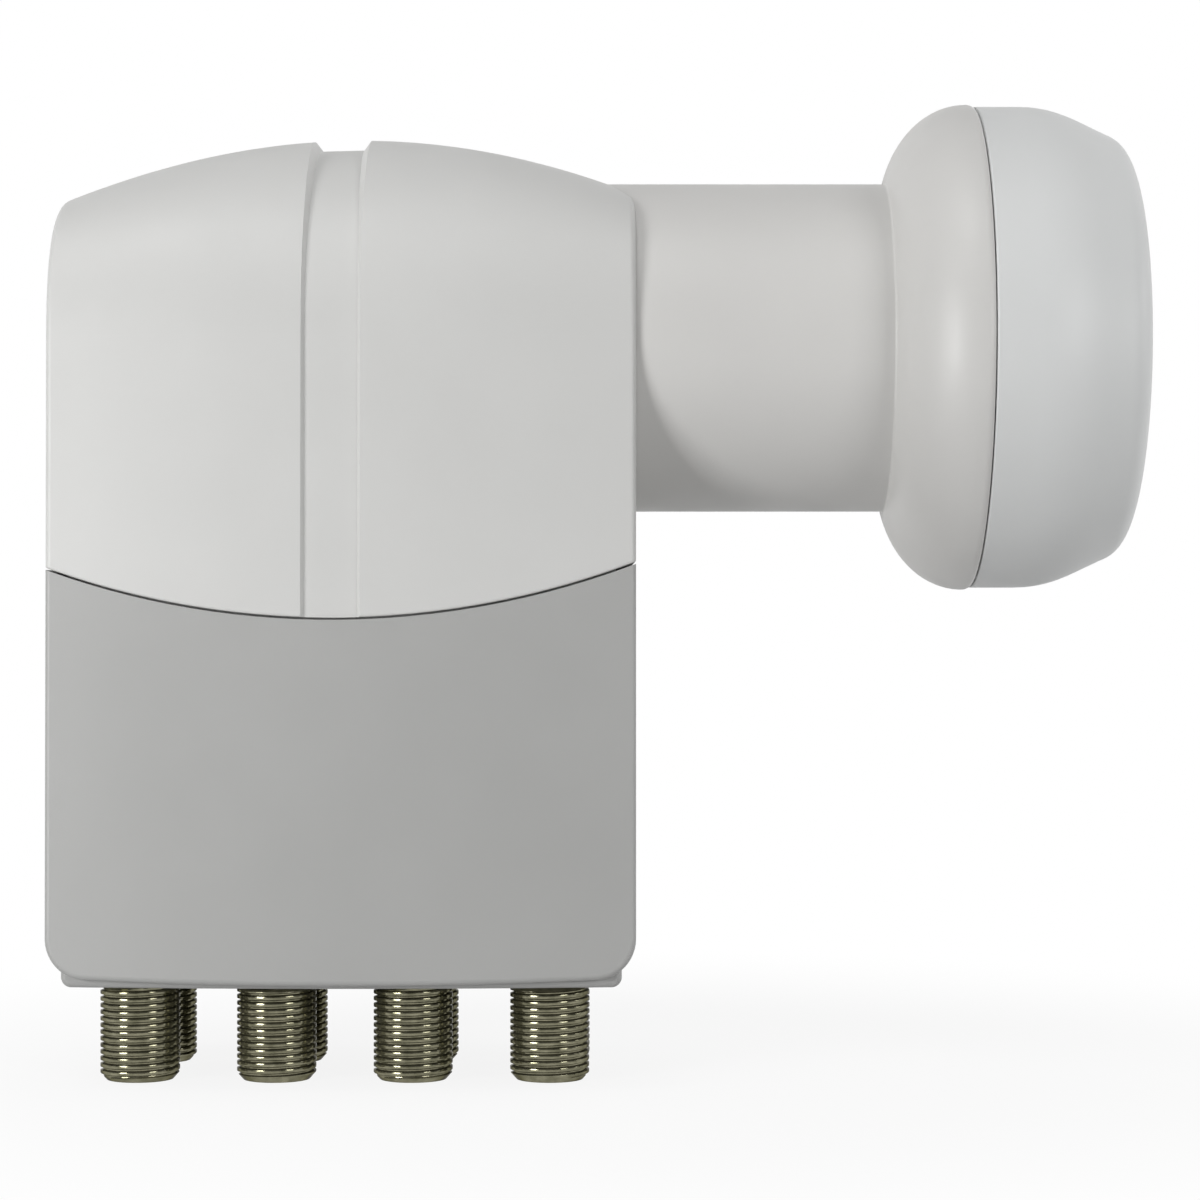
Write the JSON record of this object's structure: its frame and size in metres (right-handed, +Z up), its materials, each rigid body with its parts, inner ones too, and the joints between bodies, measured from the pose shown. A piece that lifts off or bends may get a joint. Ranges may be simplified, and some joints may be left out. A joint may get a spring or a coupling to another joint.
{
  "type": "satellite lnb",
  "caption": "Satellite LNB with a round feed horn, weather cap and clamp neck, an arched two-tone housing with a curved seam, and threaded F ports pointing down.",
  "frame": {"origin": "on the horn's axis, at the middle of the bare neck that the dish clamp grips", "axes": "+X along the horn's axis to the weather cap, +Z up with the ports pointing down, +Y across the body"},
  "size_m": [0.1297, 0.0592, 0.1179],
  "materials": {
    "hood_plastic": "satin moulded",
    "cover_plastic": "satin moulded",
    "cap_plastic": "satin moulded",
    "port_plating": "turned and plated",
    "insulator_plastic": "plain",
    "contact_metal": "plated",
    "cast_metal": "as cast",
    "circuit_board": "solder mask",
    "shield_metal": "tinned",
    "gasket_rubber": "matte",
    "screw_steel": "plated",
    "resonator_ceramic": "unglazed"
  },
  "bodies": {
    "root": {"upper_hood": "hood_plastic", "horn_neck": "hood_plastic", "lower_cover": "cover_plastic", "connector_base": "cover_plastic", "feed_cap": "cap_plastic", "base_gasket": "gasket_rubber", "cap_seal": "gasket_rubber", "neck_gasket": "gasket_rubber", "feed_horn": "cast_metal", "chassis": "cast_metal", "rf_board": "circuit_board", "matrix_board": "circuit_board", "link_board": "circuit_board", "rf_shield": "shield_metal", "matrix_shield": "shield_metal", "shield_screws": "screw_steel", "board_screws": "screw_steel", "base_screws": "screw_steel", "tuning_screws": "contact_metal", "resonator_pucks": "resonator_ceramic", "probe_vertical": "contact_metal", "probe_horizontal": "contact_metal", "probe_bushes": "insulator_plastic", "f_port_shell_1": "port_plating", "f_port_insulator_1": "insulator_plastic", "f_port_contact_1": "contact_metal", "f_port_shell_2": "port_plating", "f_port_insulator_2": "insulator_plastic", "f_port_contact_2": "contact_metal", "f_port_shell_3": "port_plating", "f_port_insulator_3": "insulator_plastic", "f_port_contact_3": "contact_metal", "f_port_shell_4": "port_plating", "f_port_insulator_4": "insulator_plastic", "f_port_contact_4": "contact_metal", "f_port_shell_5": "port_plating", "f_port_insulator_5": "insulator_plastic", "f_port_contact_5": "contact_metal", "f_port_shell_6": "port_plating", "f_port_insulator_6": "insulator_plastic", "f_port_contact_6": "contact_metal", "f_port_shell_7": "port_plating", "f_port_insulator_7": "insulator_plastic", "f_port_contact_7": "contact_metal", "f_port_shell_8": "port_plating", "f_port_insulator_8": "insulator_plastic", "f_port_contact_8": "contact_metal"}
  },
  "joints": []
}
